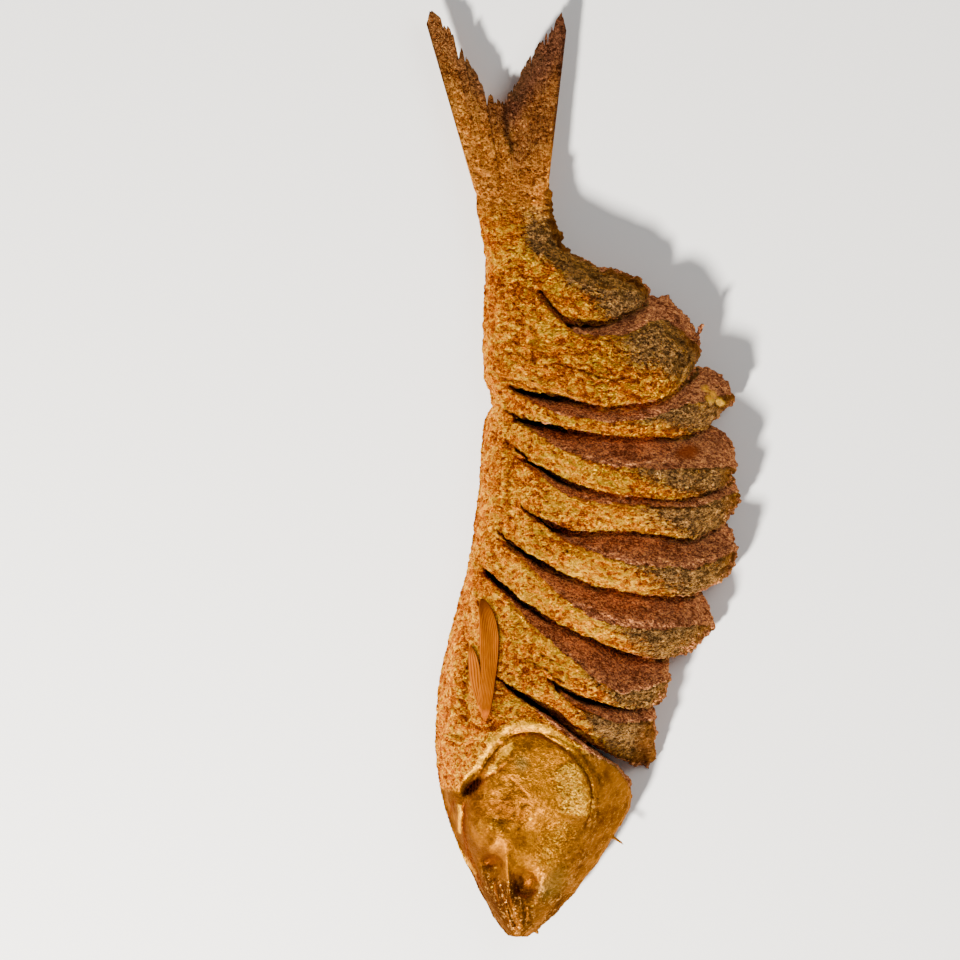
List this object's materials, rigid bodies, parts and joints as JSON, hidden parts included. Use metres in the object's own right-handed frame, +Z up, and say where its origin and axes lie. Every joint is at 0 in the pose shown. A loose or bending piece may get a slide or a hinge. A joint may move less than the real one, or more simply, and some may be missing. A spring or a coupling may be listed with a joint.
{
  "type": "salted dried hilsa",
  "caption": "Whole salted and dried hilsa, fried, lying on its side and scored from the back into thick connected slices that fan out, with forked tail, breast fin and gill cover.",
  "frame": {"origin": "on the table under the centre of the fish's outline", "axes": "+X towards the fish's back, +Y towards its tail, +Z up out of the right flank that shows"},
  "size_m": [0.1436, 0.423, 0.0463],
  "materials": {
    "fried_skin": "semi-gloss, crisp and oily"
  },
  "bodies": {
    "root": {"fish": "fried_skin"}
  },
  "joints": []
}
